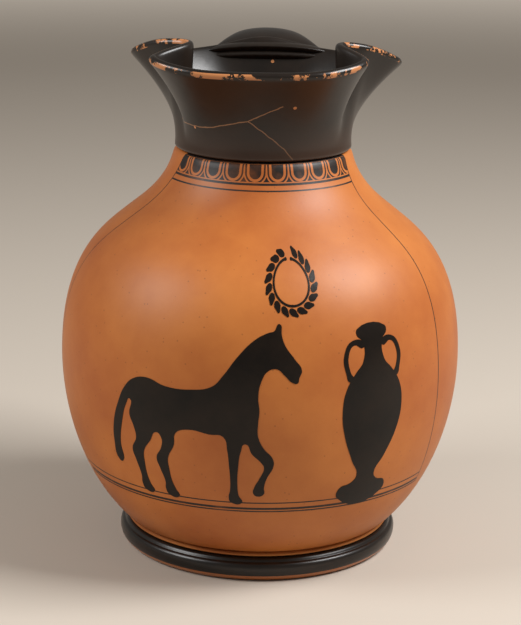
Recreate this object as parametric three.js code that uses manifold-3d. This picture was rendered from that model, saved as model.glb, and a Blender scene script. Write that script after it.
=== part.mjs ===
import * as THREE from 'three';
import { mergeVertices } from 'three/addons/utils/BufferGeometryUtils.js';
import Module from 'manifold-3d';

const wasm = await Module();
wasm.setup();

// A trefoil-mouthed wine jug in fired clay, as the members that its potter joined. Millimetres,
// +Z up. The jug stands on z = 0 with its axis at x = y = 0, the pouring lobe faces -Y and the
// handle is at +Y.

// Joins
const joinGap = 0.3; // left between members that touch

// Foot, a turned ring
const footBaseRadius = 57.6; // outer edge that it stands on
const footRadius = 60.7; // widest part of its rounded side
const footWidestHeight = 5.4;
const footShoulderRadius = 59.3; // upper end of the rounded side
const footShoulderHeight = 8.5;
const footStep = 0.7; // fine step above the rounded side
const footCollarRadius = 57.5; // top of the sloping collar
const footHeight = 10.4;
const footStandWidth = 7.5; // flat ring that it stands on
const footSeatWidth = 12; // flat ring that carries the body

// Clay layer between foot and body
const footLutingThickness = 1.3;
const footLutingRadius = 57.6;
const footLutingWidth = 10;

// Body
const bodyBaseRadius = 57.4;
const baseSlope = 48; // degrees from upright, just above the foot
const bellyRadius = 86;
const bellyHeight = 85;
const shoulderRadius = 58.5;
const shoulderHeight = 146.3;
const shoulderSlope = 47.5; // degrees from upright
const neckRadius = 37.3; // narrowest part
const neckHeight = 179;
const bodyWall = 4.6;
const floorThickness = 6.5;
const floorCorner = 9; // size of the rounded inside corner

// Seam between body and neck, with a coil pressed over it inside
const seamHeight = 174.6;
const coilReachDown = 6;
const coilReachUp = 4;
const coilThickness = 2.2;

// Neck and mouth, seen from above: a wide pouring lobe, two pinches and two side lobes
const spoutReach = 51.5;
const spoutHalfWidth = 44.6;
const spoutCornerReach = 33;
const spoutShift = -2.2; // the pouring lobe sits a little to -X
const spoutLip = 210.8;
const spoutCornerLip = 214.8;
const pinchHalfWidth = 32.6;
const pinchReach = 13;
const pinchLip = 219.2;
const lobeShoulderHalfWidth = 45.5;
const lobeShoulderReach = 3.5;
const lobeShoulderLip = 216.9;
const lobeHalfWidth = 57.4;
const lobeSetback = 11;
const lobeLip = 209.6;
const lobeTilt = 1.4; // the lobe at -X is this much higher, and the one at +X as much lower
const lobeShift = 0.8; // the side lobes sit a little to +X
const backCornerHalfWidth = 44;
const backCornerSetback = 33;
const backCornerLip = 206.8;
const backSetback = 46;
const backLip = 212.6; // raised where the handle springs
const backRiseHalfWidth = 23;
const backRiseSetback = 44;
const backRiseLip = 208.2;
const flare = 1.58; // 1 widens evenly, more widens late
const neckWall = 4.2;
const lipWall = 3.7;
const lipCrown = 1.6; // height of the lip's rounded edge

// Handle, a strap
const handleWidth = 28;
const handleThickness = 9.4;
const handleShift = 1.2; // the handle stands a little to +X
const handleTop = 216.8; // highest point of its outer face
const handleTopSetback = 59;
const handleReach = 85.4; // outermost point of its outer face
const handleReachHeight = 184;
const handleRootWidth = 60; // flared end at the lip
const handleRootLength = 34; // over which the flare runs out
const handleRootThickness = 8;
const handleFootHeight = 132; // where it lands on the body
const handleFootWidth = 35;
const handleFootLength = 26;
const handleFootSlope = 24; // degrees from upright
const handleSink = 3; // how far its ends are drawn into the walls before they are cut

// Clay pressed round both ends of the handle
const padSpread = 3.6; // beyond the handle's sides
const padHeight = 5; // along the handle
const padSink = 2;

// Fineness
const roundSteps = 64;
const curveRows = [7, 8, 6]; // rows of the base, belly and shoulder curves
const mouthSteps = 88;
const mouthRows = 9;
const strapSides = 14;
const strapSteps = 34;
const padSteps = 5;

// Colours
const fireClay = { color: 0xc4713a, roughness: 0.75, metalness: 0 };
const blackGloss = { color: 0x17120f, roughness: 0.32, metalness: 0 };
const lutingClay = { color: 0xb0602f, roughness: 0.85, metalness: 0 };

const jug = new THREE.Group();

function addMember(name, geometry, finish) {
  geometry.computeVertexNormals();
  const mesh = new THREE.Mesh(geometry, new THREE.MeshStandardMaterial(finish));
  mesh.name = name;
  jug.add(mesh);
}

function bareMesh(geometry) {
  const bare = new THREE.BufferGeometry();
  bare.setAttribute('position', geometry.getAttribute('position'));
  bare.setIndex(geometry.getIndex());
  return mergeVertices(bare, 1e-4);
}

// Closed loops of points, joined one to the next, with flat caps or back to the first loop
function skin(loops, closedRound) {
  const count = loops[0].length;
  const positions = loops.flat().flatMap((p) => [p.x, p.y, p.z]);
  const triangles = [];
  const last = closedRound ? loops.length : loops.length - 1;
  for (let i = 0; i < last; i += 1) {
    const here = i * count;
    const next = ((i + 1) % loops.length) * count;
    for (let j = 0; j < count; j += 1) {
      const k = (j + 1) % count;
      triangles.push(here + j, next + j, next + k, here + j, next + k, here + k);
    }
  }
  if (!closedRound) {
    for (const [loop, first, turn] of [[loops[0], 0, 1], [loops.at(-1), (loops.length - 1) * count, -1]]) {
      const middle = new THREE.Vector3();
      loop.forEach((p) => middle.addScaledVector(p, 1 / count));
      const hub = positions.length / 3;
      positions.push(middle.x, middle.y, middle.z);
      for (let j = 0; j < count; j += 1) {
        const pair = [first + j, first + ((j + 1) % count)];
        triangles.push(hub, ...(turn > 0 ? pair : pair.reverse()));
      }
    }
  }
  const geometry = new THREE.BufferGeometry();
  geometry.setAttribute('position', new THREE.Float32BufferAttribute(positions, 3));
  geometry.setIndex(signedVolume(positions, triangles) > 0 ? triangles : triangles.reverse());
  return geometry;
}

function signedVolume(positions, triangles) {
  const at = (i) => new THREE.Vector3().fromArray(positions, 3 * i);
  let volume = 0;
  for (let i = 0; i < triangles.length; i += 3) {
    volume += at(triangles[i]).dot(at(triangles[i + 1]).cross(at(triangles[i + 2]))) / 6;
  }
  return volume;
}

// A ring or bowl turned on the jug's axis, from points [radius, height]
function turned(points) {
  const geometry = new THREE.LatheGeometry(points.map(([r, z]) => new THREE.Vector2(r, z)), roundSteps);
  const bare = bareMesh(geometry.rotateX(Math.PI / 2));
  const index = bare.getIndex().array;
  const kept = [];
  for (let i = 0; i < index.length; i += 3) {
    const [a, b, c] = index.slice(i, i + 3);
    if (a !== b && b !== c && c !== a) kept.push(a, b, c);
  }
  const positions = bare.getAttribute('position').array;
  bare.setIndex(signedVolume(positions, kept) > 0 ? kept : kept.reverse());
  return bare;
}

function toSolid(geometry) {
  const bare = bareMesh(geometry);
  return new wasm.Manifold(new wasm.Mesh({
    numProp: 3,
    vertProperties: Float32Array.from(bare.getAttribute('position').array),
    triVerts: Uint32Array.from(bare.getIndex().array),
  }));
}

function toGeometry(solid) {
  const mesh = solid.getMesh();
  const geometry = new THREE.BufferGeometry();
  geometry.setAttribute('position', new THREE.BufferAttribute(mesh.vertProperties, 3));
  geometry.setIndex(new THREE.BufferAttribute(mesh.triVerts, 1));
  return geometry;
}

// Outside of the body up to the narrowest part of the neck, as [radius, height] curves
const bodyBase = footHeight + footLutingThickness + 2 * joinGap;

function outline(from, fromSlope, fromPull, to, toSlope, toPull) {
  const rise = to.y - from.y;
  const lean = (degrees, pull) => new THREE.Vector2(
    Math.sin(THREE.MathUtils.degToRad(degrees)),
    Math.cos(THREE.MathUtils.degToRad(degrees)),
  ).multiplyScalar(pull * rise);
  return new THREE.CubicBezierCurve(
    from, from.clone().add(lean(fromSlope, fromPull)), to.clone().sub(lean(toSlope, toPull)), to,
  );
}

const basePoint = new THREE.Vector2(bodyBaseRadius, bodyBase);
const bellyPoint = new THREE.Vector2(bellyRadius, bellyHeight);
const shoulderPoint = new THREE.Vector2(shoulderRadius, shoulderHeight);
const neckPoint = new THREE.Vector2(neckRadius, neckHeight);
const outerCurves = [
  outline(basePoint, baseSlope, 0.39, bellyPoint, 0, 0.31),
  outline(bellyPoint, 0, 0.73, shoulderPoint, -shoulderSlope, 0.16),
  outline(shoulderPoint, -shoulderSlope, 0.12, neckPoint, 0, 0.6),
];

function outerRadius(height) {
  const curve = outerCurves.find((c) => height <= c.v3.y) ?? outerCurves.at(-1);
  let low = 0;
  let high = 1;
  for (let i = 0; i < 40; i += 1) {
    const middle = (low + high) / 2;
    if (curve.getPoint(middle).y < height) low = middle;
    else high = middle;
  }
  return curve.getPoint(low).x;
}

// Radius at a height, moved along the wall's own normal: inwards for the inside of a wall
function shiftedRadius(height, shift) {
  const reach = 0.5;
  const low = Math.max(height - reach, bodyBase);
  const high = Math.min(height + reach, neckHeight);
  const slope = (outerRadius(high) - outerRadius(low)) / (high - low);
  return outerRadius(height) + shift * Math.hypot(1, slope);
}

function evenly(from, to, steps) {
  return Array.from({ length: steps + 1 }, (_, i) => from + ((to - from) * i) / steps);
}

// Heights of the wall's rows from the body's base up to its top edge
function wallHeights(top) {
  const rows = outerCurves.flatMap((curve, i) => curve.getPoints(curveRows[i]).slice(0, -1));
  return [...rows.map((p) => p.y).filter((z) => z < top - 1), top];
}

function footProfile() {
  const side = new THREE.Path();
  const lowerBulge = footWidestHeight * 0.45;
  const upperBulge = (footShoulderHeight - footWidestHeight) * 0.6;
  side.moveTo(footBaseRadius, 0);
  side.bezierCurveTo(
    footBaseRadius + (footRadius - footBaseRadius) * 0.75, lowerBulge * 0.5,
    footRadius, footWidestHeight - lowerBulge, footRadius, footWidestHeight,
  );
  side.bezierCurveTo(
    footRadius, footWidestHeight + upperBulge,
    (footRadius + footShoulderRadius) / 2, footShoulderHeight, footShoulderRadius, footShoulderHeight,
  );
  side.lineTo(footShoulderRadius - footStep, footShoulderHeight + footStep / 2);
  side.lineTo(footCollarRadius, footHeight);
  const points = side.getPoints(5).map((p) => [p.x, p.y]);
  points.push([footCollarRadius - footSeatWidth, footHeight]);
  points.push([footBaseRadius - footStandWidth, 0]);
  return [...points, points[0]];
}

function footLutingProfile() {
  const low = footHeight + joinGap;
  const high = low + footLutingThickness;
  const inner = footLutingRadius - footLutingWidth;
  const edge = footLutingThickness / 4; // the squeezed-out rim is rounded
  return [
    [inner, low], [footLutingRadius - edge, low], [footLutingRadius, low + edge],
    [footLutingRadius, high - edge], [footLutingRadius - edge, high], [inner, high], [inner, low],
  ];
}

function bodyProfile() {
  const top = seamHeight - joinGap / 2;
  const floorTop = bodyBase + floorThickness;
  const heights = wallHeights(top);
  const cornerTop = floorTop + floorCorner;
  const outside = heights.map((z) => [outerRadius(z), z]);
  const inside = [cornerTop, ...heights.filter((z) => z > cornerTop + 1)]
    .map((z) => [shiftedRadius(z, -bodyWall), z])
    .reverse();
  const wallEnd = inside.at(-1)[0];
  const bend = new THREE.QuadraticBezierCurve(
    new THREE.Vector2(wallEnd, cornerTop),
    new THREE.Vector2(wallEnd - floorCorner * Math.tan(THREE.MathUtils.degToRad(baseSlope)), floorTop),
    new THREE.Vector2(wallEnd - 2 * floorCorner, floorTop),
  );
  const corner = bend.getPoints(4).slice(1).map((p) => [p.x, p.y]);
  return [[0, bodyBase], ...outside, ...inside, ...corner, [0, floorTop]];
}

function coilProfile() {
  const low = seamHeight - coilReachDown;
  const high = seamHeight + coilReachUp;
  const steps = 6;
  const against = evenly(low, high, steps).map((z) => [shiftedRadius(z, -bodyWall - joinGap), z]);
  const free = evenly(high, low, steps).slice(1, -1).map((z) => {
    const along = (z - low) / (high - low);
    return [shiftedRadius(z, -bodyWall - joinGap - coilThickness * Math.sin(Math.PI * along)), z];
  });
  return [...against, ...free, against[0]];
}

// The lip seen from above and its heights, from the front round past +X to the back and again
// to the front past -X
function lipCurve() {
  const side = (mirror) => [
    [mirror * spoutHalfWidth * 0.64 + spoutShift, -spoutReach * 0.945, spoutLip + 0.8],
    [mirror * spoutHalfWidth + spoutShift, -spoutCornerReach, spoutCornerLip],
    [mirror * pinchHalfWidth, -pinchReach, pinchLip],
    [mirror * lobeShoulderHalfWidth, -lobeShoulderReach, lobeShoulderLip - mirror * lobeTilt / 2],
    [mirror * lobeHalfWidth + lobeShift, lobeSetback, lobeLip - mirror * lobeTilt],
    [mirror * backCornerHalfWidth, backCornerSetback, backCornerLip],
    [mirror * backRiseHalfWidth, backRiseSetback, backRiseLip],
  ].map(([x, y, z]) => new THREE.Vector3(x, y, z));
  const front = new THREE.Vector3(spoutShift, -spoutReach, spoutLip);
  const back = new THREE.Vector3(0, backSetback, backLip);
  const points = [front, ...side(1), back, ...side(-1).reverse()];
  return new THREE.CatmullRomCurve3(points, true, 'centripetal');
}

// Radius of the flare at a share of the way up to a lip that reaches out this far
function flareRadius(reach, share) {
  return neckRadius + (reach - neckRadius) * share ** flare;
}

// Outside of neck and mouth: one column of points for each step round the lip
function mouthColumns() {
  const bottom = seamHeight + joinGap / 2;
  return lipCurve().getSpacedPoints(mouthSteps).slice(0, -1).map((lip) => {
    const reach = Math.hypot(lip.x, lip.y);
    const column = evenly(bottom, neckHeight, 2).slice(0, -1).map((z) => [outerRadius(z), z]);
    for (const t of evenly(0, 1, mouthRows)) {
      column.push([flareRadius(reach, t), neckHeight + (lip.z - neckHeight) * t]);
    }
    return column.map(([r, z]) => new THREE.Vector3((lip.x * r) / reach, (lip.y * r) / reach, z));
  });
}

const columns = mouthColumns();

// Outward normal and upward direction of the mouth's surface at a point of the grid
function facing(i, j) {
  const before = columns[(i + mouthSteps - 1) % mouthSteps][j];
  const after = columns[(i + 1) % mouthSteps][j];
  const lower = columns[i][Math.max(j - 1, 0)];
  const upper = columns[i][Math.min(j + 1, columns[i].length - 1)];
  const up = upper.clone().sub(lower).normalize();
  const out = after.clone().sub(before).cross(up).normalize();
  return { up, out };
}

// A point of the lip's rounded edge, 0 degrees at its outer side, 90 on top and 180 at its inner
// side
function crownPoint(i, degrees, growth) {
  const column = columns[i];
  const { up, out } = facing(i, column.length - 1);
  const a = THREE.MathUtils.degToRad(degrees);
  return column.at(-1).clone()
    .addScaledVector(out, (lipWall / 2 + growth) * Math.cos(a) - lipWall / 2)
    .addScaledVector(up, (lipCrown + growth) * Math.sin(a));
}

function mouthSection(column, i) {
  const inside = column.map((p, j) => {
    const share = j / (column.length - 1);
    const wall = neckWall + (lipWall - neckWall) * share;
    const point = p.clone().addScaledVector(facing(i, j).out, -wall);
    if (j === 0) point.z = p.z;
    return point;
  });
  const crown = [45, 90, 135].map((degrees) => crownPoint(i, degrees, 0));
  return [...column, ...crown, ...inside.reverse()];
}

// Neck and mouth grown by a gap, filled, and carried on above the lip: it cuts what meets it
// from outside
function mouthPlug(gap) {
  const rows = columns[0].map((_, j) => columns.map((column, i) => (
    column[j].clone().addScaledVector(facing(i, j).out, gap)
  )));
  const crown = [45, 90].map((degrees) => columns.map((_, i) => crownPoint(i, degrees, gap)));
  const above = crown[1].map((p) => p.clone().setZ(p.z + 2 * handleThickness));
  return skin([...rows, ...crown, above], false);
}

function bodyPlug(gap) {
  const top = seamHeight - joinGap / 2;
  const side = wallHeights(top).map((z) => [shiftedRadius(z, gap), z]);
  return turned([[0, bodyBase], ...side, [0, top]]);
}

// Centre line of the handle in an upright plane, from the lip over the arch down to the body
function handleLine() {
  const half = handleThickness / 2;
  const at = (y, z) => new THREE.Vector3(handleShift, y, z);
  const footLean = THREE.MathUtils.degToRad(handleFootSlope);
  const startHeight = backLip - handleRootThickness;
  const startShare = (startHeight - neckHeight) / (backLip - neckHeight);
  const start = at(flareRadius(backSetback, startShare) - handleSink, startHeight);
  const top = at(handleTopSetback, handleTop - half);
  const outer = at(handleReach - half, handleReachHeight);
  const foot = at(outerRadius(handleFootHeight) - handleSink, handleFootHeight);
  const rise = (top.z - start.z) * 0.8;
  const archPull = (outer.y - top.y) * 0.62;
  const dropPull = (outer.z - foot.z) * 0.4;
  const line = new THREE.CurvePath();
  line.add(new THREE.CubicBezierCurve3(
    start, at(start.y + rise, start.z + rise), at(top.y - rise, top.z), top,
  ));
  line.add(new THREE.CubicBezierCurve3(
    top, at(top.y + archPull, top.z), at(outer.y, outer.z + archPull), outer,
  ));
  line.add(new THREE.CubicBezierCurve3(
    outer, at(outer.y, outer.z - dropPull),
    at(foot.y + dropPull * Math.sin(footLean), foot.z + dropPull * Math.cos(footLean)), foot,
  ));
  return line;
}

const strapLine = handleLine();
const strapLength = strapLine.getLength();

// Width and thickness at a share of the way along the strap: flared at both ends
function strapSize(along) {
  const root = Math.max(0, 1 - (along * strapLength) / handleRootLength) ** 2;
  const foot = Math.max(0, 1 - ((1 - along) * strapLength) / handleFootLength) ** 2;
  return {
    width: handleWidth + (handleRootWidth - handleWidth) * root + (handleFootWidth - handleWidth) * foot,
    thickness: handleThickness + (handleRootThickness - handleThickness) * root,
  };
}

function strapLoop(along, growth) {
  const centre = strapLine.getPointAt(along);
  const tangent = strapLine.getTangentAt(along);
  const across = new THREE.Vector3(1, 0, 0);
  const normal = new THREE.Vector3().crossVectors(tangent, across);
  const { width, thickness } = strapSize(along);
  return Array.from({ length: strapSides }, (_, k) => {
    const a = (2 * Math.PI * k) / strapSides;
    return centre.clone()
      .addScaledVector(across, (width / 2 + growth) * Math.cos(a))
      .addScaledVector(normal, (thickness / 2 + growth) * Math.sin(a));
  });
}

function strap(growth) {
  return skin(evenly(0, 1, strapSteps).map((along) => strapLoop(along, growth)), false);
}

// A collar of clay round one end of the strap, thickest at the wall
function padLump(fromStart) {
  const reach = (padHeight + handleSink + padSink) / strapLength;
  const loops = evenly(0, 1, padSteps).map((share) => {
    const along = fromStart ? share * reach : 1 - share * reach;
    const swell = padSpread * Math.cos((share * Math.PI) / 2) ** 0.8;
    return strapLoop(along, swell + 0.8);
  });
  return skin(loops, false);
}

addMember('foot', turned(footProfile()), blackGloss);
addMember('foot_luting_ring', turned(footLutingProfile()), lutingClay);
addMember('body', turned(bodyProfile()), fireClay);
addMember('neck_luting_coil', turned(coilProfile()), lutingClay);
addMember('neck_and_mouth', skin(columns.map(mouthSection), true), blackGloss);

const walls = toSolid(mouthPlug(joinGap)).add(toSolid(bodyPlug(joinGap)));
const handle = toSolid(strap(0)).subtract(walls);
const handleRoom = toSolid(strap(joinGap));
addMember('handle', toGeometry(handle), blackGloss);
addMember('handle_upper_luting', toGeometry(toSolid(padLump(true)).subtract(walls).subtract(handleRoom)), lutingClay);
addMember('handle_lower_luting', toGeometry(toSolid(padLump(false)).subtract(walls).subtract(handleRoom)), lutingClay);

export default jug;
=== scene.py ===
import math

import bpy
from mathutils import Matrix, Vector


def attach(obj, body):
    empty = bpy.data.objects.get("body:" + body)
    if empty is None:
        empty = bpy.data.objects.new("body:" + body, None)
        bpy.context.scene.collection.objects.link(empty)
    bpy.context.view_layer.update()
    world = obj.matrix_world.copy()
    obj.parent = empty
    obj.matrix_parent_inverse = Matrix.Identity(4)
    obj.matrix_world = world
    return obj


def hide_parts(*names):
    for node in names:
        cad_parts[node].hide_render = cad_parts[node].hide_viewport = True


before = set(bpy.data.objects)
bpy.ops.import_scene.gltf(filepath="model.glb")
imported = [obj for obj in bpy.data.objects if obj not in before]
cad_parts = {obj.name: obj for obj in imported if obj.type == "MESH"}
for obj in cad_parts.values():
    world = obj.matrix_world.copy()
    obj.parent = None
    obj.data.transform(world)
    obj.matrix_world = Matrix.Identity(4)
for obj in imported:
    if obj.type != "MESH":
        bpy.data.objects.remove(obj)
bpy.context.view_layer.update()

mm = 0.001  # the jug's sizes are in millimetres, and Blender works in metres


# colour and node helpers

def fromHex(code):  # sRGB hex to the linear colour that the shader works in
    channels = [int(code[i:i + 2], 16) / 255 for i in (1, 3, 5)]
    return tuple(c / 12.92 if c <= 0.04045 else ((c + 0.055) / 1.055) ** 2.4 for c in channels) + (1.0,)


def addNode(tree, kind, inputs=(), output=0, **settings):  # gives back one of the new node's outputs
    node = tree.nodes.new("ShaderNode" + kind)
    for key, value in settings.items():
        setattr(node, key, value)
    for key, value in inputs.items() if isinstance(inputs, dict) else enumerate(inputs):
        if isinstance(value, bpy.types.NodeSocket):
            tree.links.new(value, node.inputs[key])
        else:
            node.inputs[key].default_value = value
    return node.outputs[output] if node.outputs else None


def newMaterial(name):
    material = bpy.data.materials.new(name)
    material.use_nodes = True
    tree = material.node_tree
    tree.nodes.clear()
    return material, tree, addNode(tree, "TexCoord", output="Object")


# the body's outline: each point is a radius and a height, slopes are in degrees from upright

bodyForm = {
    "base": (57.4, 12.3), "baseSlope": 48,
    "belly": (86.0, 85.0),
    "shoulder": (58.5, 146.3), "shoulderSlope": 47.5,
    "neck": (37.3, 179.0),
    "pulls": ((0.39, 0.31), (0.73, 0.16), (0.12, 0.6)),  # how long each stretch keeps its end slopes
    "wall": 4.6, "floor": 6.5, "seam": 174.6, "seamPlay": 0.05,
    "slip": 0.07,  # the painted slip stands this far above the clay
    "rows": 44, "baseRings": (0, 20, 40, 54), "floorRings": (20, 0),
    "cornerRise": 9, "corner": ((4, 4.5), (10, 1.2), (18, 0)),  # in from the wall and up from the floor
}


def bezierPoint(points, t):
    a, b, c, d = points
    return a * (1 - t) ** 3 + b * 3 * t * (1 - t) ** 2 + c * 3 * t * t * (1 - t) + d * t ** 3


def leaningCurve(low, lowSlope, high, highSlope, pulls):
    rise = high[1] - low[1]
    lowTurn, highTurn = math.radians(lowSlope), math.radians(highSlope)
    lowLean = Vector((math.sin(lowTurn), math.cos(lowTurn))) * pulls[0] * rise
    highLean = Vector((math.sin(highTurn), math.cos(highTurn))) * pulls[1] * rise
    return [Vector(low), Vector(low) + lowLean, Vector(high) - highLean, Vector(high)]


def bodyCurves():
    f = bodyForm
    lower, upper, neck = f["pulls"]
    return [
        leaningCurve(f["base"], f["baseSlope"], f["belly"], 0, lower),
        leaningCurve(f["belly"], 0, f["shoulder"], -f["shoulderSlope"], upper),
        leaningCurve(f["shoulder"], -f["shoulderSlope"], f["neck"], 0, neck),
    ]


outerCurves = bodyCurves()


def outerRadius(height):  # found by halving the stretch of the curve
    curve = next((c for c in outerCurves if height <= c[3].y), outerCurves[-1])
    low, high = 0.0, 1.0
    for _ in range(26):
        middle = (low + high) / 2
        if bezierPoint(curve, middle).y < height:
            low = middle
        else:
            high = middle
    return bezierPoint(curve, low).x


def shiftedRadius(height, shift):  # along the wall's own normal, taken over 1 mm of height
    low = max(height - 0.5, bodyForm["base"][1])
    high = min(height + 0.5, bodyForm["neck"][1])
    slope = (outerRadius(high) - outerRadius(low)) / (high - low)
    return outerRadius(height) + shift * math.hypot(1, slope)


# modelling helpers

def deselectAll():
    if bpy.context.object and bpy.context.object.mode != "OBJECT":
        bpy.ops.object.mode_set(mode="OBJECT")
    bpy.ops.object.select_all(action="DESELECT")


def startEdit(piece):
    bpy.context.view_layer.objects.active = piece
    bpy.ops.object.mode_set(mode="EDIT")
    bpy.ops.mesh.select_all(action="SELECT")


def applyModifier(piece, kind, **settings):
    deselectAll()
    piece.select_set(True)
    bpy.context.view_layer.objects.active = piece
    modifier = piece.modifiers.new(kind.title(), kind)
    for key, value in settings.items():
        setattr(modifier, key, value)
    bpy.ops.object.modifier_apply(modifier=modifier.name)


def finishPiece(piece, name, material, node, crisp=False):  # crisp keeps the edges of flat paint
    piece.name = name
    piece.data.name = name
    piece.data.materials.clear()
    piece.data.materials.append(material)
    deselectAll()
    piece.select_set(True)
    bpy.context.view_layer.objects.active = piece
    bpy.ops.object.transform_apply(location=True, rotation=True, scale=True)
    if crisp:
        bpy.ops.object.shade_smooth_by_angle(angle=math.radians(30))
    else:
        bpy.ops.object.shade_smooth()
    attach(piece, "root")
    if node:
        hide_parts(node)


def turnedPiece(profile):  # the profile is drawn point by point and spun round the axis
    deselectAll()
    bpy.ops.mesh.primitive_plane_add(size=mm)
    piece = bpy.context.object
    startEdit(piece)
    bpy.ops.mesh.merge(type="CENTER")  # the plane shrinks to the profile's first point
    points = [Vector((r * mm, 0, z * mm)) for r, z in profile]
    bpy.ops.transform.translate(value=points[0])
    for here, after in zip(points, points[1:]):
        bpy.ops.mesh.extrude_region_move(TRANSFORM_OT_translate={"value": after - here})
    bpy.ops.mesh.select_all(action="SELECT")
    bpy.ops.mesh.spin(steps=128, angle=2 * math.pi, center=(0, 0, 0), axis=(0, 0, 1))
    bpy.ops.mesh.select_all(action="SELECT")
    bpy.ops.mesh.remove_doubles(threshold=0.02 * mm)
    bpy.ops.mesh.normals_make_consistent(inside=False)
    bpy.ops.object.mode_set(mode="OBJECT")
    applyModifier(piece, "SUBSURF", levels=1, render_levels=1)
    return piece


# A circle is drawn up ring by ring, and then each point is set in place. The number of a point's
# ring is kept in the attribute "rise", which tells the slip's finish where the lip is.
def ringedPiece(around, rows, place, closed):
    deselectAll()
    bpy.ops.mesh.primitive_circle_add(vertices=around, radius=mm, fill_type="NOTHING")
    piece = bpy.context.object
    startEdit(piece)
    for _ in range(rows - 1):
        bpy.ops.mesh.extrude_region_move(TRANSFORM_OT_translate={"value": (0, 0, mm)})
    bpy.ops.object.mode_set(mode="OBJECT")
    rise = piece.data.attributes.new("rise", "FLOAT", "POINT")
    for vertex in piece.data.vertices:
        turn = (math.atan2(vertex.co.x, -vertex.co.y) / (2 * math.pi)) % 1.0
        i, j = round(turn * around) % around, round(vertex.co.z / mm)
        vertex.co = place(i, j) * mm
        rise.data[vertex.index].value = j
    startEdit(piece)
    bpy.ops.mesh.select_all(action="DESELECT")
    bpy.ops.mesh.select_non_manifold()
    if closed:
        bpy.ops.mesh.bridge_edge_loops()
    else:
        bpy.ops.mesh.fill_holes(sides=0)
    bpy.ops.mesh.select_all(action="SELECT")
    bpy.ops.mesh.normals_make_consistent(inside=False)
    bpy.ops.object.mode_set(mode="OBJECT")
    applyModifier(piece, "SUBSURF", levels=1, render_levels=1)
    return piece


# clay: iron-rich earthenware, thrown and burnished before firing, which gives the eye a soft even
# sheen over cloudy orange with small dark pits

clayForm = {
    "dark": "#A25624", "light": "#BE7234", "toneStops": (0.32, 0.68), "pit": "#6B3E20",
    "cloudScale": 16.0,  # clouds about 60 mm across
    "pitScale": 260.0,  # pits about 4 mm apart
    "pitSize": 0.09, "pitDepth": 0.45,
    "grainScale": 700.0,  # 1.4 mm, far coarser than the real grain so that it shows
    "grainStrength": 0.15, "grainHeight": 0.2, "roughness": 0.46, "specular": 0.35,
}
lutingForm = {"dark": "#8A4A22", "light": "#B9773F", "roughness": 0.8, "specular": 0.25}

# lines of black slip painted on the clay: heights, distances and half widths in mm, turns in degrees

panelForm = {
    "line": "#1B120D",
    # a side line runs aside by bow degrees at reach mm above and below its middle
    "left":{"turn": -81.0, "bow": 13.5, "middle": 97.0, "reach": 62.0},
    "right": {"turn": 60.0, "bow": 3.0, "middle": 95.0, "reach": 60.0},
    "frameHalf": 0.3, "frameBase": 37.3, "frameTop": 174.3,
    "bandLines": ((174.1, 0.35), (166.0, 0.45), (163.5, 0.3)),
    "groundLines": ((41.9, 0.3), (39.0, 0.55), (37.6, 0.35)),
    "bandBase": 166.9, "bandTop": 173.7,
    "tongueStep": 13.6, "tongueStart": -4.5, "tongueCentre": 170.4,
    "bareLoops": ((2.95, 0.5), (4.5, 0.3)),  # clay left bare round each tongue, and between two
    "thinScale": 120.0,  # the slip runs thin in spots about 8 mm across
    "thinLeast": 0.5,
}


def clayColour(tree, place, dark, light):
    f = clayForm
    cloud = addNode(tree, "TexNoise", {
        "Vector": place, "Scale": f["cloudScale"], "Detail": 6.0, "Roughness": 0.6,
    }, "Fac")
    tone = addNode(tree, "ValToRGB", {"Fac": cloud})
    for stop, position, code in zip(tone.node.color_ramp.elements, f["toneStops"], (dark, light)):
        stop.position = position
        stop.color = fromHex(code)
    specks = addNode(tree, "TexVoronoi", {"Vector": place, "Scale": f["pitScale"]}, "Distance")
    pit = addNode(tree, "Math", (specks, f["pitSize"]), operation="LESS_THAN")
    depth = addNode(tree, "Math", (pit, f["pitDepth"]), operation="MULTIPLY")
    return addNode(tree, "Mix", {0: depth, 6: tone, 7: fromHex(f["pit"])}, 2, data_type="RGBA")


def heightBand(tree, height, low, high):  # 1 between two heights
    above = addNode(tree, "Math", (height, low), operation="GREATER_THAN")
    below = addNode(tree, "Math", (height, high), operation="LESS_THAN")
    return addNode(tree, "Math", (above, below), operation="MULTIPLY")


def frameLine(tree, height, turn, arc, side):  # how far aside of a bowed side line, and 1 on it
    away = addNode(tree, "Math", (height, side["middle"]), operation="SUBTRACT")
    away = addNode(tree, "Math", (away, side["reach"]), operation="DIVIDE")
    bow = addNode(tree, "Math", (away, away), operation="MULTIPLY")
    bow = addNode(tree, "Math", (bow, side["bow"]), operation="MULTIPLY")
    edge = addNode(tree, "Math", (side["turn"], bow), operation="ADD")
    aside = addNode(tree, "Math", (turn, edge), operation="SUBTRACT")
    aside = addNode(tree, "Math", (aside, arc), operation="MULTIPLY")
    return aside, addNode(tree, "Math", (aside, 0.0, panelForm["frameHalf"]), operation="COMPARE")


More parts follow.
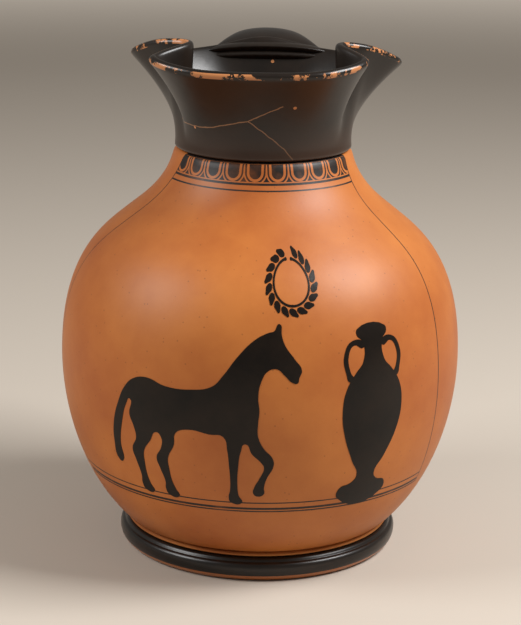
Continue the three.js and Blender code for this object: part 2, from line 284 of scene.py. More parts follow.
def tongueBand(tree, height, turn, arc):  # 1 where the slip of the tongues under the neck is
    f = panelForm
    half = f["tongueStep"] / 2
    wave = addNode(tree, "Math", (turn, f["tongueStart"]), operation="SUBTRACT")
    wave = addNode(tree, "Math", (wave, half, -half), operation="WRAP")
    side = addNode(tree, "Math", (wave, arc), operation="MULTIPLY")
    drop = addNode(tree, "Math", (f["tongueCentre"], height), operation="SUBTRACT")
    drop = addNode(tree, "Math", (drop, 0.0), operation="MAXIMUM")
    sideSquare = addNode(tree, "Math", (side, side), operation="MULTIPLY")
    dropSquare = addNode(tree, "Math", (drop, drop), operation="MULTIPLY")
    away = addNode(tree, "Math", (sideSquare, dropSquare), operation="ADD")
    away = addNode(tree, "Math", (away,), operation="SQRT")
    bare = 0.0
    for loop in f["bareLoops"]:
        onLoop = addNode(tree, "Math", (away, *loop), operation="COMPARE")
        bare = addNode(tree, "Math", (bare, onLoop), operation="MAXIMUM")
    filled = addNode(tree, "Math", (1.0, bare), operation="SUBTRACT")
    band = heightBand(tree, height, f["bandBase"], f["bandTop"])
    return addNode(tree, "Math", (band, filled), operation="MULTIPLY")


def paintedLines(tree, place):  # 1 where the slip is full, less where it runs thin
    f = panelForm
    x, y, z = addNode(tree, "SeparateXYZ", (place,)).node.outputs
    height = addNode(tree, "Math", (z, 1000.0), operation="MULTIPLY")
    front = addNode(tree, "Math", (y, -1.0), operation="MULTIPLY")
    turn = addNode(tree, "Math", (x, front), operation="ARCTAN2")
    turn = addNode(tree, "Math", (turn, 180 / math.pi), operation="MULTIPLY")
    xSquare = addNode(tree, "Math", (x, x), operation="MULTIPLY")
    ySquare = addNode(tree, "Math", (y, y), operation="MULTIPLY")
    radius = addNode(tree, "Math", (xSquare, ySquare), operation="ADD")
    radius = addNode(tree, "Math", (radius,), operation="SQRT")
    radius = addNode(tree, "Math", (radius, 1000.0), operation="MULTIPLY")
    arc = addNode(tree, "Math", (radius, math.pi / 180), operation="MULTIPLY")  # mm to a degree
    leftAside, leftLine = frameLine(tree, height, turn, arc, f["left"])
    rightAside, rightLine = frameLine(tree, height, turn, arc, f["right"])
    pastLeft = addNode(tree, "Math", (leftAside, 0.0), operation="GREATER_THAN")
    beforeRight = addNode(tree, "Math", (rightAside, 0.0), operation="LESS_THAN")
    inside = addNode(tree, "Math", (pastLeft, beforeRight), operation="MULTIPLY")
    across = tongueBand(tree, height, turn, arc)
    for line in f["bandLines"] + f["groundLines"]:
        onLine = addNode(tree, "Math", (height, *line), operation="COMPARE")
        across = addNode(tree, "Math", (across, onLine), operation="MAXIMUM")
    across = addNode(tree, "Math", (across, inside), operation="MULTIPLY")
    upright = addNode(tree, "Math", (leftLine, rightLine), operation="MAXIMUM")
    tall = heightBand(tree, height, f["frameBase"], f["frameTop"])
    upright = addNode(tree, "Math", (upright, tall), operation="MULTIPLY")
    painted = addNode(tree, "Math", (across, upright), operation="MAXIMUM")
    thin = addNode(tree, "TexNoise", {"Vector": place, "Scale": f["thinScale"], "Detail": 3.0}, "Fac")
    thin = addNode(tree, "Math", (thin, f["thinLeast"]), operation="ADD")
    thin = addNode(tree, "Math", (thin, 1.0), operation="MINIMUM")
    return addNode(tree, "Math", (painted, thin), operation="MULTIPLY")


def bodyClay():
    f = clayForm
    material, tree, place = newMaterial("burnished_clay_with_slip_lines")
    ground = clayColour(tree, place, f["dark"], f["light"])
    painted = {0: paintedLines(tree, place), 6: ground, 7: fromHex(panelForm["line"])}
    grain = addNode(tree, "TexNoise", {"Vector": place, "Scale": f["grainScale"], "Detail": 3.0}, "Fac")
    bump = {"Strength": f["grainStrength"], "Distance": f["grainHeight"] * mm, "Height": grain}
    shader = addNode(tree, "BsdfPrincipled", {
        "Base Color": addNode(tree, "Mix", painted, 2, data_type="RGBA"),
        "Roughness": f["roughness"], "Specular IOR Level": f["specular"],
        "Normal": addNode(tree, "Bump", bump),
    })
    addNode(tree, "OutputMaterial", {"Surface": shader})
    return material


def lutingClay():  # the same earthenware, left as it was pressed: matt and uneven in tone
    f = lutingForm
    material, tree, place = newMaterial("rough_luting_clay")
    shader = addNode(tree, "BsdfPrincipled", {
        "Base Color": clayColour(tree, place, f["dark"], f["light"]),
        "Roughness": f["roughness"], "Specular IOR Level": f["specular"],
    })
    addNode(tree, "OutputMaterial", {"Surface": shader})
    return material


# black gloss: fine clay slip brushed on and sintered in the fire, which gives the eye a thin satin
# black with faint brown clouds and the brush's ripple

glossForm = {
    "dark": "#0D0A08", "light": "#241A13", "toneStops": (0.3, 0.8),
    "cloudScale": 45.0,  # clouds about 22 mm across
    "rippleScale": 220.0,  # ripple about 4.5 mm across
    "rippleStrength": 0.12, "rippleHeight": 0.3, "roughness": 0.3,
    "specular": 0.45, "thinSpecular": 0.22,  # the figures are one thin coat, less shiny
}


def glossSlip(name, wear=None, specular=glossForm["specular"]):
    f = glossForm
    material, tree, place = newMaterial(name)
    cloud = addNode(tree, "TexNoise", {
        "Vector": place, "Scale": f["cloudScale"], "Detail": 7.0, "Roughness": 0.7,
    }, "Fac")
    colour = addNode(tree, "ValToRGB", {"Fac": cloud})
    tones = f["dark"], f["light"]
    for stop, position, code in zip(colour.node.color_ramp.elements, f["toneStops"], tones):
        stop.position = position
        stop.color = fromHex(code)
    if wear:
        colour = wear(tree, place, colour)
    ripple = addNode(tree, "TexNoise", {"Vector": place, "Scale": f["rippleScale"], "Detail": 4.0}, "Fac")
    bump = {"Strength": f["rippleStrength"], "Distance": f["rippleHeight"] * mm, "Height": ripple}
    shader = addNode(tree, "BsdfPrincipled", {
        "Base Color": colour, "Roughness": f["roughness"], "Specular IOR Level": specular,
        "Normal": addNode(tree, "Bump", bump),
    })
    addNode(tree, "OutputMaterial", {"Surface": shader})
    return material


# neck and mouth: the lip is one closed line, the same on both sides but for small shifts; each of
# its side points is x, a shift of x, y, z and a tilt

mouthForm = {
    "steps": 176, "rows": 16, "flare": 1.58, "neckWall": 4.2, "lipWall": 3.7, "crown": 1.6,
    "side": (
        (28.54, -2.2, -48.7, 211.6, 0), (44.6, -2.2, -33, 214.8, 0), (32.6, 0, -13, 219.2, 0),
        (45.5, 0, -3.5, 216.9, -0.7), (57.4, 0.8, 11, 209.6, -1.4), (44, 0, 33, 206.8, 0),
        (23, 0, 44, 208.2, 0),
    ),
    "front": (-2.2, -51.5, 210.8), "back": (0, 46, 212.6),
    "seamRings": (0, 1.5, 3), "crownTurns": (35, 70, 110, 145), "linePoints": 24,
}
lipRing = len(mouthForm["seamRings"]) + mouthForm["rows"] + 1  # the first ring on the lip's edge

# wear of the neck and mouth: the slip is flaked off the lip, cracked, and browned at the neck's root

mouthWearForm = {
    "clay": "#B97A4C", "crack": "#8A6446", "brown": "#3A2417",
    "chipScale": 130.0,  # chips about 8 mm long
    "chipRings": 1.1, "chipShare": 0.5,
    "pitScale": 75.0,  # pits about 13 mm apart
    "pitSize": 0.055,
    "cracks": (  # each knot is degrees round from the front and a height in mm
        ((-65, 188.6), (-41, 187.5), (-32, 188.3), (-9, 192), (10, 198.7)),
        ((-9, 192), (1, 186.7), (13, 180.2), (19, 175.6)),
    ),
    "neckRadius": 42.0,  # where the cracks' degrees become mm
    "crackHalf": 0.22,
    "shakeScale": 300.0,  # a crack wavers every 3 mm or so
    "shake": 0.9,
    "brownTop": 190.0, "brownBase": 174.0, "brownShare": 0.75,
}
footWearForm = {
    "clay": "#A5602F", "stripeMiddle": 1.6, "stripeHalf": 1.2,
    "pitScale": 90.0,  # pits about 11 mm apart
    "pitSize": 0.05,
}


def nearSegment(tree, u, v, start, end, half):  # 1 within half of a straight line from start to end
    du, dv = end[0] - start[0], end[1] - start[1]
    su = addNode(tree, "Math", (u, start[0]), operation="SUBTRACT")
    sv = addNode(tree, "Math", (v, start[1]), operation="SUBTRACT")
    partU = addNode(tree, "Math", (su, du), operation="MULTIPLY")
    partV = addNode(tree, "Math", (sv, dv), operation="MULTIPLY")
    along = addNode(tree, "Math", (partU, partV), operation="ADD")
    along = addNode(tree, "Math", (along, du * du + dv * dv), operation="DIVIDE")
    along = addNode(tree, "Math", (along, 1.0), operation="MINIMUM")
    along = addNode(tree, "Math", (along, 0.0), operation="MAXIMUM")
    squares = []
    for part, reach in ((su, du), (sv, dv)):
        walked = addNode(tree, "Math", (along, reach), operation="MULTIPLY")
        off = addNode(tree, "Math", (part, walked), operation="SUBTRACT")
        squares.append(addNode(tree, "Math", (off, off), operation="MULTIPLY"))
    away = addNode(tree, "Math", squares, operation="ADD")
    return addNode(tree, "Math", (away, half * half), operation="LESS_THAN")


def neckCracks(tree, place, x, y, height):
    f = mouthWearForm
    front = addNode(tree, "Math", (y, -1.0), operation="MULTIPLY")
    around = addNode(tree, "Math", (x, front), operation="ARCTAN2")
    around = addNode(tree, "Math", (around, f["neckRadius"]), operation="MULTIPLY")
    shake = addNode(tree, "TexNoise", {"Vector": place, "Scale": f["shakeScale"], "Detail": 2.0}, "Fac")
    shake = addNode(tree, "Math", (shake, f["shake"]), operation="MULTIPLY")
    shaken = addNode(tree, "Math", (height, shake), operation="ADD")
    cracked = 0.0
    for line in f["cracks"]:
        knots = [(math.radians(turn) * f["neckRadius"], z + f["shake"] / 2) for turn, z in line]
        for start, end in zip(knots, knots[1:]):
            onLine = nearSegment(tree, around, shaken, start, end, f["crackHalf"])
            cracked = addNode(tree, "Math", (cracked, onLine), operation="MAXIMUM")
    return cracked


def mouthWear(tree, place, colour):
    f = mouthWearForm
    ring = addNode(tree, "Attribute", output="Fac", attribute_name="rise")
    near = addNode(tree, "Math", (ring, float(lipRing), f["chipRings"]), operation="COMPARE")
    flake = addNode(tree, "TexNoise", {
        "Vector": place, "Scale": f["chipScale"], "Detail": 6.0, "Roughness": 0.7,
    }, "Fac")
    flaked = addNode(tree, "Math", (flake, f["chipShare"]), operation="GREATER_THAN")
    chipped = addNode(tree, "Math", (near, flaked), operation="MULTIPLY")
    pits = addNode(tree, "TexVoronoi", {"Vector": place, "Scale": f["pitScale"]}, "Distance")
    pitted = addNode(tree, "Math", (pits, f["pitSize"]), operation="LESS_THAN")
    chipped = addNode(tree, "Math", (chipped, pitted), operation="MAXIMUM")
    x, y, z = addNode(tree, "SeparateXYZ", (place,)).node.outputs
    height = addNode(tree, "Math", (z, 1000.0), operation="MULTIPLY")
    outer = addNode(tree, "Math", (ring, lipRing - 1.0), operation="LESS_THAN")  # the outer face alone
    cracked = neckCracks(tree, place, x, y, height)
    cracked = addNode(tree, "Math", (cracked, outer), operation="MULTIPLY")
    fromTop = {"Value": height, "From Min": f["brownTop"], "From Max": f["brownBase"]}
    browned = addNode(tree, "MapRange", fromTop)
    browned = addNode(tree, "Math", (browned, f["brownShare"]), operation="MULTIPLY")
    for share, code in ((cracked, f["crack"]), (browned, f["brown"]), (chipped, f["clay"])):
        colour = addNode(tree, "Mix", {0: share, 6: colour, 7: fromHex(code)}, 2, data_type="RGBA")
    return colour


def footWear(tree, place, colour):  # a stripe left bare runs round the bottom of the foot
    f = footWearForm
    z = addNode(tree, "SeparateXYZ", (place,), "Z")
    height = addNode(tree, "Math", (z, 1000.0), operation="MULTIPLY")
    stripe = addNode(tree, "Math", (height, f["stripeMiddle"], f["stripeHalf"]), operation="COMPARE")
    pits = addNode(tree, "TexVoronoi", {"Vector": place, "Scale": f["pitScale"]}, "Distance")
    pitted = addNode(tree, "Math", (pits, f["pitSize"]), operation="LESS_THAN")
    bare = addNode(tree, "Math", (stripe, pitted), operation="MAXIMUM")
    return addNode(tree, "Mix", {0: bare, 6: colour, 7: fromHex(f["clay"])}, 2, data_type="RGBA")


clay = bodyClay()
luting = lutingClay()
gloss = glossSlip("black_gloss_slip")
figureGloss = glossSlip("thin_black_gloss_slip", specular=glossForm["thinSpecular"])
mouthGloss = glossSlip("flaked_black_gloss_slip", mouthWear)
footGloss = glossSlip("banded_black_gloss_slip", footWear)
print("materials ready")


# body, and the coil pressed over its seam inside the neck

coilForm = {"below": 5.5, "above": 3.5, "rows": 6, "inset": 5.0, "bulge": 1.9}


def makeBody():
    f = bodyForm
    low, top = f["base"][1], f["seam"] - f["seamPlay"]
    floorTop = low + f["floor"]
    heights = [low + (top - low) * i / f["rows"] for i in range(f["rows"] + 1)]
    underside = [(r, low) for r in f["baseRings"]]
    outside = [(outerRadius(z) - f["slip"], z) for z in heights]
    cornerTop = floorTop + f["cornerRise"]
    inside = [(shiftedRadius(z, -f["wall"]), z) for z in reversed(heights) if z > cornerTop]
    wallEnd = inside[-1][0]
    corner = [(wallEnd - inwards, floorTop + upwards) for inwards, upwards in f["corner"]]
    floor = [(r, floorTop) for r in f["floorRings"]]
    piece = turnedPiece(underside + outside + inside + corner + floor)
    finishPiece(piece, "body_wall", clay, "body")


def makeCoil():
    f = coilForm
    low, high = bodyForm["seam"] - f["below"], bodyForm["seam"] + f["above"]
    rows = [low + (high - low) * i / f["rows"] for i in range(f["rows"] + 1)]
    against = [(shiftedRadius(z, -f["inset"]), z) for z in rows]
    free = []
    for z in rows[-2:0:-1]:
        bulge = f["bulge"] * math.sin(math.pi * (z - low) / (high - low))
        free.append((shiftedRadius(z, -f["inset"] - bulge), z))
    piece = turnedPiece(against + free + against[:1])
    finishPiece(piece, "seam_coil", luting, "neck_luting_coil")


makeBody()
makeCoil()
print("body ready")


# foot and the clay layer above it: closed outlines of radius and height

footForm = {
    "profile": (
        (57.1, 0), (57.6, 0.25), (59.3, 1.4), (60.4, 3.2), (60.68, 5.2), (60.5, 6.8), (60.0, 7.9),
        (59.3, 8.4), (58.7, 8.5), (58.6, 8.9), (58.1, 9.6), (57.5, 10.38), (46, 10.38), (47.5, 5),
        (49.4, 1), (50.4, 0), (57.1, 0),
    ),
    "layer": ((48, 10.4), (57.2, 10.4), (57.55, 11.1), (57.3, 12.3), (48, 12.3), (48, 10.4)),
}


def makeFoot():
    ring = turnedPiece(footForm["profile"])
    finishPiece(ring, "foot_ring", footGloss, "foot")
    layer = turnedPiece(footForm["layer"])
    finishPiece(layer, "foot_luting", luting, "foot_luting_ring")


makeFoot()
print("foot ready")


# neck and mouth

def centripetalPoint(p, t):  # between the second and third of four points
    gaps = [max((p[i + 1] - p[i]).length, 1e-6) ** 0.5 for i in range(3)]
    first = (p[1] - p[0]) / gaps[0] - (p[2] - p[0]) / (gaps[0] + gaps[1]) + (p[2] - p[1]) / gaps[1]
    second = (p[2] - p[1]) / gaps[1] - (p[3] - p[1]) / (gaps[1] + gaps[2]) + (p[3] - p[2]) / gaps[2]
    return bezierPoint([p[1], p[1] + first * gaps[1] / 3, p[2] - second * gaps[1] / 3, p[2]], t)


def evenPoints(line, count, closed):  # the same line in steps of one length
    points = line + line[:1] if closed else line
    lengths = [0.0]
    for a, b in zip(points, points[1:]):
        lengths.append(lengths[-1] + (b - a).length)
    found, k = [], 0
    for i in range(count):
        want = lengths[-1] * i / (count if closed else count - 1)
        while k < len(lengths) - 2 and lengths[k + 1] < want:
            k += 1
        share = (want - lengths[k]) / max(lengths[k + 1] - lengths[k], 1e-9)
        found.append(points[k].lerp(points[k + 1], share))
    return found


def lipSide(m):  # m is 1 or -1
    return [Vector((m * x + shift, y, z + m * tilt)) for x, shift, y, z, tilt in mouthForm["side"]]


def lipLine():
    f = mouthForm
    points = [Vector(f["front"])] + lipSide(1) + [Vector(f["back"])] + lipSide(-1)[::-1]
    dense = []
    for i in range(len(points)):
        four = [points[(i + k) % len(points)] for k in (-1, 0, 1, 2)]
        dense += [centripetalPoint(four, t / f["linePoints"]) for t in range(f["linePoints"])]
    return evenPoints(dense, f["steps"], True)


def mouthColumns():  # the outer face, as upright lines from the seam to the lip
    f = mouthForm
    waist, waistHeight = bodyForm["neck"]
    low = bodyForm["seam"] - bodyForm["seamPlay"]
    columns = []
    for lip in lipLine():
        reach = math.hypot(lip.x, lip.y)
        rings = [(outerRadius(low + rise), low + rise) for rise in f["seamRings"]]
        for j in range(f["rows"] + 1):
            t = j / f["rows"]
            rings.append((waist + (reach - waist) * t ** f["flare"], waistHeight + (lip.z - waistHeight) * t))
        columns.append([Vector((lip.x * r / reach, lip.y * r / reach, z)) for r, z in rings])
    return columns


def mouthSections():  # up the outside, over the rounded lip and down the inside
    f = mouthForm
    columns = mouthColumns()
    count, tall = len(columns), len(columns[0])
    half = f["lipWall"] / 2

    def facing(i, j):
        up = (columns[i][min(j + 1, tall - 1)] - columns[i][max(j - 1, 0)]).normalized()
        return (columns[(i + 1) % count][j] - columns[i - 1][j]).cross(up).normalized(), up

    sections = []
    for i, column in enumerate(columns):
        out, up = facing(i, tall - 1)
        edge = []
        for degrees in f["crownTurns"]:
            a = math.radians(degrees)
            edge.append(column[-1] + out * (half * math.cos(a) - half) + up * f["crown"] * math.sin(a))
        inner = []
        for j, point in enumerate(column):
            wall = f["neckWall"] + (f["lipWall"] - f["neckWall"]) * j / (tall - 1)
            inner.append(point - facing(i, j)[0] * wall)
        inner[0].z = column[0].z
        sections.append(column + edge + inner[::-1])
    return sections


def makeMouth():
    sections = mouthSections()
    piece = ringedPiece(mouthForm["steps"], len(sections[0]), lambda i, j: sections[i][j], True)
    finishPiece(piece, "neck_and_mouth_wall", mouthGloss, "neck_and_mouth")


makeMouth()
print("mouth ready")


# handle: a strap along an upright line; top and reach are points of its outer face, and the pulls
# say how long each stretch keeps its slope

handleForm = {
    "shift": 1.2, "width": 28, "thickness": 9.4, "sink": 3,
    "top": (59, 216.8), "reach": (85.4, 184), "foot": 132, "lean": 24,
    "rootWidth": 60, "rootThickness": 8, "rootLength": 34, "footWidth": 35, "footLength": 26,
    "risePull": 0.8, "archPull": 0.62, "dropPull": 0.4, "stretchPoints": 60, "linePoints": 281,
    "sides": 32, "steps": 70,
    "shrink": 0.02,  # keeps the strap inside the size of its solid
}
# clay pressed round both ends of the strap, thickest against the wall
padForm = {"start": 0.7, "height": 5, "spread": 3.6, "share": 0.8, "fall": 0.8, "least": 0.05, "rows": 9}


def handleLine():
    f = handleForm
    waist, waistHeight = bodyForm["neck"]
    half = f["thickness"] / 2
    back, backHeight = mouthForm["back"][1:]
    startHeight = backHeight - f["rootThickness"]
    share = (startHeight - waistHeight) / (backHeight - waistHeight)

    def at(y, z):
        return Vector((f["shift"], y, z))

    start = at(waist + (back - waist) * share ** mouthForm["flare"] - f["sink"], startHeight)
    top = at(f["top"][0], f["top"][1] - half)
    outer = at(f["reach"][0] - half, f["reach"][1])
    foot = at(outerRadius(f["foot"]) - f["sink"], f["foot"])
    rise = (top.z - start.z) * f["risePull"]
    arch = (outer.y - top.y) * f["archPull"]
    drop = (outer.z - foot.z) * f["dropPull"]
    lean = math.radians(f["lean"])
    beforeFoot = at(foot.y + drop * math.sin(lean), foot.z + drop * math.cos(lean))
    stretches = (
        (start, at(start.y + rise, start.z + rise), at(top.y - rise, top.z), top),
        (top, at(top.y + arch, top.z), at(outer.y, outer.z + arch), outer),
        (outer, at(outer.y, outer.z - drop), beforeFoot, foot),
    )
    count = f["stretchPoints"]
    dense = [bezierPoint(s, t / count) for s in stretches for t in range(count)] + [foot]
    return evenPoints(dense, f["linePoints"], False)


strapLine = handleLine()
strapLength = sum((b - a).length for a, b in zip(strapLine, strapLine[1:]))


def strapPoint(along, turn, growth):  # on an oval section that widens towards both ends
    f = handleForm
    last = len(strapLine) - 1
    k = min(max(along, 0), 1) * last
    i = min(int(k), last - 1)
    centre = strapLine[i].lerp(strapLine[i + 1], k - i)
    tangent = (strapLine[min(i + 2, last)] - strapLine[max(i - 1, 0)]).normalized()
    across = Vector((1, 0, 0))
    normal = tangent.cross(across).normalized()
    root = max(0, 1 - along * strapLength / f["rootLength"]) ** 2
    foot = max(0, 1 - (1 - along) * strapLength / f["footLength"]) ** 2
    width = f["width"] + (f["rootWidth"] - f["width"]) * root + (f["footWidth"] - f["width"]) * foot
    thick = f["thickness"] + (f["rootThickness"] - f["thickness"]) * root
    a = 2 * math.pi * turn
    aside, upwards = (width / 2 + growth) * math.cos(a), (thick / 2 + growth) * math.sin(a)
    return centre + across * aside + normal * upwards


def padPoint(i, j, fromEnd):
    f = padForm
    up = j / (f["rows"] - 1)
    along = (handleForm["sink"] * f["start"] + f["height"] * up) / strapLength
    growth = f["spread"] * max(math.cos(math.pi / 2 * up), 0) ** f["fall"] * f["share"] + f["least"]
    return strapPoint(1 - along if fromEnd else along, i / handleForm["sides"], growth)


def makeHandle():
    sides, steps, shrink = handleForm["sides"], handleForm["steps"], handleForm["shrink"]
    strap = ringedPiece(sides, steps, lambda i, j: strapPoint(j / (steps - 1), i / sides, -shrink), False)
    finishPiece(strap, "strap_handle", gloss, "handle")
    for name, fromEnd in (("upper_luting", False), ("lower_luting", True)):
        pad = ringedPiece(sides, padForm["rows"], lambda i, j: padPoint(i, j, fromEnd), False)
        finishPiece(pad, name, gloss, f"handle_{name}")


makeHandle()
print("handle ready")


# painted figures: flat outlines in mm, cut fine and wrapped onto the wall as a thin coat of slip;
# a place is mm round the wall from the front, mm up, and a size

figureForm = {
    "wrapRadius": 84.0, "thickness": 0.14, "cut": 3.0,
    "horsePlace": (-24, 42.0, 1.1), "amphoraPlace": (48, 42.0, 1.32), "wreathPlace": (14, 133, 1.1),
}

horse = (  # from the nose over mane and back to the tail, then leg by leg to the chin
    (36, 50), (37, 53), (34.5, 57), (31, 62), (29.8, 65.5), (29, 69.5), (27, 67), (25, 66.5),
    (20, 64), (14, 58), (9, 51), (5, 46.5), (-3, 44.5), (-13, 44.5), (-21, 46.5), (-27, 45),
    (-31, 41), (-34, 35), (-37, 27), (-38.5, 18), (-37.5, 10), (-35.7, 10), (-35, 18), (-32.8, 27),
    (-30, 35), (-28.4, 37), (-28.8, 31), (-27, 26), (-26.5, 22), (-29, 17), (-28, 12), (-27, 6),
    (-27.6, 2.6), (-26.8, 0), (-22.2, 0), (-23.2, 3), (-24, 7), (-24, 12), (-23.5, 17), (-20, 22),
    (-17, 26), (-15, 24), (-15.5, 20), (-18, 15.5), (-17, 11), (-15.7, 5.5), (-16.2, 2.6),
    (-15.2, 0), (-10.5, 0), (-11.5, 3), (-12.6, 6.5), (-13, 11), (-13, 16), (-10, 22), (-9, 27),
    (-4, 29), (4, 28), (9, 27.5), (10.5, 22), (11, 16), (11.3, 10), (11, 5), (10.4, 2.6), (11, 0),
    (15.6, 0), (14.4, 3), (14, 8), (14.4, 15), (15.5, 22), (17, 25), (19.5, 21), (23, 17.4),
    (24, 15.5), (22.5, 11), (20.5, 7), (20, 4.5), (21.5, 3), (24.2, 4), (24.2, 6.8), (25, 10.5),
    (27.6, 16.5), (27, 19.5), (24, 23), (21.7, 28), (21.6, 33), (22, 38), (21.5, 43), (22.5, 49),
    (25, 53), (28, 53.6), (31, 51), (33.5, 48.6), (35.5, 48.3),
)
amphoraSide = (
    (9, 0), (9, 3.6), (5, 5.2), (3.4, 7.5), (6, 13), (9.6, 22), (10.8, 30), (9.6, 37), (6.4, 42),
    (3.9, 45), (3.6, 51), (5.6, 53.4), (5.2, 55),
)
amphora = amphoraSide + tuple((-x, y) for x, y in reversed(amphoraSide))
amphoraGrip = {"line": ((3.4, 50), (7, 51), (9.5, 47.5), (9, 42), (7.8, 39.5)), "width": 1.5}
wreathForm = {
    "leaves": 18, "gap": 4,  # the leaf at the gap is left out
    "leafRadius": 8.6, "leafLength": 4.2, "leafWidth": 2.4, "leafLean": 1.1,
    "leaf": ((0, 0), (0.35, 0.5), (0.7, 0.35), (1, 0), (0.7, -0.35), (0.35, -0.5)),
    "ringRadius": 7.4, "ringStart": 0.27, "ringEnd": 1.23, "ringPoints": 40, "ringWidth": 0.8,
}


def ribbon(points, width):  # an open line as a closed band of one width
    line = [Vector(p) for p in points]
    left, right = [], []
    for i, point in enumerate(line):
        way = (line[min(i + 1, len(line) - 1)] - line[max(i - 1, 0)]).normalized()
        aside = Vector((-way.y, way.x)) * width / 2
        left.append(tuple(point + aside))
        right.append(tuple(point - aside))
    return tuple(left + right[::-1])


def wreathRing():
    f = wreathForm
    start, last = f["ringStart"], f["ringPoints"] - 1
    turns = [2 * math.pi * (start + (f["ringEnd"] - start) * i / last) for i in range(last + 1)]
    line = [(f["ringRadius"] * math.cos(a), f["ringRadius"] * math.sin(a)) for a in turns]
    return ribbon(line, f["ringWidth"])


def wreathLeaf(k):
    f = wreathForm
    a = 2 * math.pi * k / f["leaves"]
    lean = a + f["leafLean"]
    middle = Vector((math.cos(a), math.sin(a))) * f["leafRadius"]
    along = Vector((math.cos(lean), math.sin(lean)))
    aside = Vector((-along.y, along.x))
    length, width = f["leafLength"], f["leafWidth"]
    return tuple(tuple(middle + along * length * u + aside * width * v) for u, v in f["leaf"])


def flatShapes(shapes, size):  # smooth closed outlines, filled and made a mesh
    deselectAll()
    bpy.ops.curve.primitive_bezier_circle_add(radius=1)
    outline = bpy.context.object.data
    outline.splines.clear()
    outline.dimensions = "2D"
    outline.fill_mode = "BOTH"
    outline.resolution_u = 5
    for shape in shapes:
        spline = outline.splines.new("BEZIER")
        spline.bezier_points.add(len(shape) - 1)
        spline.use_cyclic_u = True
        for knot, (x, y) in zip(spline.bezier_points, shape):
            knot.co = (x * size * mm, y * size * mm, 0)
            knot.handle_left_type = knot.handle_right_type = "AUTO"
    bpy.ops.object.convert(target="MESH")
    return bpy.context.object


def cutFine(piece):  # into squares small enough to follow the wall
    cut = figureForm["cut"]
    corners = [v.co.copy() for v in piece.data.vertices]
    startEdit(piece)
    bpy.ops.mesh.remove_doubles(threshold=0.01 * mm)
    for axis, normal in ((0, (1, 0, 0)), (1, (0, 1, 0))):
        low, high = min(c[axis] for c in corners) / mm, max(c[axis] for c in corners) / mm
        for k in range(1, int((high - low) / cut) + 1):
            bpy.ops.mesh.select_all(action="SELECT")
            bpy.ops.mesh.bisect(plane_co=Vector(normal) * (low + k * cut) * mm, plane_no=normal)
    bpy.ops.object.mode_set(mode="OBJECT")


def paintShapes(name, shapes, place):
    aside, ground, size = place
    piece = flatShapes(shapes, size)
    piece.data.transform(Matrix.Translation((aside * mm, ground * mm, 0)))
    cutFine(piece)
    for vertex in piece.data.vertices:
        height = vertex.co.y / mm
        turn = vertex.co.x / mm / figureForm["wrapRadius"]
        radius = outerRadius(height)
        vertex.co = Vector((radius * math.sin(turn), -radius * math.cos(turn), height)) * mm
    startEdit(piece)
    bpy.ops.mesh.normals_make_consistent(inside=False)
    bpy.ops.object.mode_set(mode="OBJECT")
    faces = piece.data.polygons
    outward = sum(p.normal.dot(Vector((p.center.x, p.center.y, 0)).normalized()) for p in faces)
    if outward < 0:
        piece.data.flip_normals()
    applyModifier(piece, "SOLIDIFY", thickness=figureForm["thickness"] * mm, offset=-1)
    finishPiece(piece, name, figureGloss, None, crisp=True)


def makeFigures():
    f = figureForm
    paintShapes("painted_horse", [horse], f["horsePlace"])
    paintShapes("painted_amphora", [amphora], f["amphoraPlace"])
    for k, m in enumerate((1, -1)):
        grip = ribbon([(m * x, y) for x, y in amphoraGrip["line"]], amphoraGrip["width"])
        paintShapes(f"painted_amphora_grip_{k + 1}", [grip], f["amphoraPlace"])
    leaves = [wreathLeaf(k) for k in range(wreathForm["leaves"]) if k != wreathForm["gap"]]
    paintShapes("painted_wreath_leaves", leaves, f["wreathPlace"])
    paintShapes("painted_wreath_ring", [wreathRing()], f["wreathPlace"])


makeFigures()
print("figures ready")


# floor, lights and camera, in metres; the camera was fitted to the object's outline

stageForm = {
    "floor": "#BDB3A7", "floorSize": 20, "floorRoughness": 0.9, "floorSpecular": 0.1,
    # painted light: the far floor glows in this colour, fading in between these distances, to stand in for
    # the lit backdrop
    "paintedGlow": "#A8A096", "paintedGlowFrom": 1.3, "paintedGlowTo": 2.7, "paintedGlowStrength": 1.15,
    "sky": "#D8D2CA", "skyStrength": 0.34, "lampSize": 0.5, "aim": (0, 0, 0.1),
    "lamps": (("right_softbox", (0.72, -0.18, 0.9), 17.0), ("left_softbox", (-0.9, -0.3, 0.75), 8.0)),
    "lens": 121.94, "distance": 0.886, "height": 0.3434, "pitch": 15.3, "roll": 0.9,
}


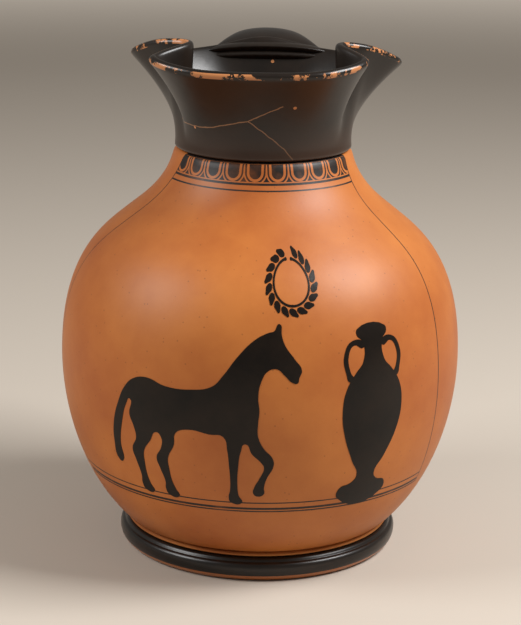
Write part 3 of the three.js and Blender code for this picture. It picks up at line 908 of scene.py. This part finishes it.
def makeFloor():  # matt painted board; far off it glows with painted light that stands in for the lit backdrop, and only the eye and reflections see that glow
    f = stageForm
    deselectAll()
    bpy.ops.mesh.primitive_plane_add(size=f["floorSize"])
    floor = bpy.context.object
    floor.name = "floor"
    material, tree, place = newMaterial("matt_pale_board")
    # painted light: the board glows more the farther it is, standing in for the lit backdrop; the glow lights
    # nothing
    depth = addNode(tree, "VectorMath", (place,), "Value", operation="LENGTH")
    paintedGlowRange = {"Value": depth, "From Min": f["paintedGlowFrom"], "From Max": f["paintedGlowTo"]}
    paintedGlow = addNode(tree, "MapRange", paintedGlowRange, interpolation_type="SMOOTHSTEP")
    rays = addNode(tree, "LightPath").node.outputs
    seen = rays["Is Camera Ray"]
    for name in ("Is Glossy Ray", "Is Transmission Ray"):
        seen = addNode(tree, "Math", (seen, rays[name]), operation="MAXIMUM")
    paintedGlow = addNode(tree, "Math", (paintedGlow, seen), operation="MULTIPLY")
    paintedGlow = addNode(tree, "Math", (paintedGlow, f["paintedGlowStrength"]), operation="MULTIPLY")
    shader = addNode(tree, "BsdfPrincipled", {
        "Base Color": fromHex(f["floor"]),
        "Roughness": f["floorRoughness"], "Specular IOR Level": f["floorSpecular"],
        "Emission Color": fromHex(f["paintedGlow"]), "Emission Strength": paintedGlow,
    })
    addNode(tree, "OutputMaterial", {"Surface": shader})
    floor.data.materials.append(material)


def makeLights():
    f = stageForm
    world = bpy.data.worlds.new("studio")
    bpy.context.scene.world = world
    world.use_nodes = True
    background = world.node_tree.nodes["Background"]
    background.inputs["Color"].default_value = fromHex(f["sky"])
    background.inputs["Strength"].default_value = f["skyStrength"]
    for name, place, power in f["lamps"]:
        deselectAll()
        bpy.ops.object.light_add(type="AREA", location=place)
        lamp = bpy.context.object
        lamp.name = name
        lamp.data.size = f["lampSize"]
        lamp.data.energy = power
        lamp.rotation_euler = (Vector(f["aim"]) - Vector(place)).to_track_quat("-Z", "Y").to_euler()


def makeCamera():
    f = stageForm
    deselectAll()
    bpy.ops.object.camera_add(location=(0, -f["distance"], f["height"]))
    camera = bpy.context.object
    tilt = Matrix.Rotation(math.radians(90 - f["pitch"]), 4, "X")
    camera.rotation_euler = (tilt @ Matrix.Rotation(math.radians(f["roll"]), 4, "Z")).to_euler()
    camera.data.lens = f["lens"]
    camera.data.sensor_width = 36
    bpy.context.scene.camera = camera


makeFloor()
makeLights()
makeCamera()
bpy.context.scene.view_settings.view_transform = "Standard"
print("stage ready")
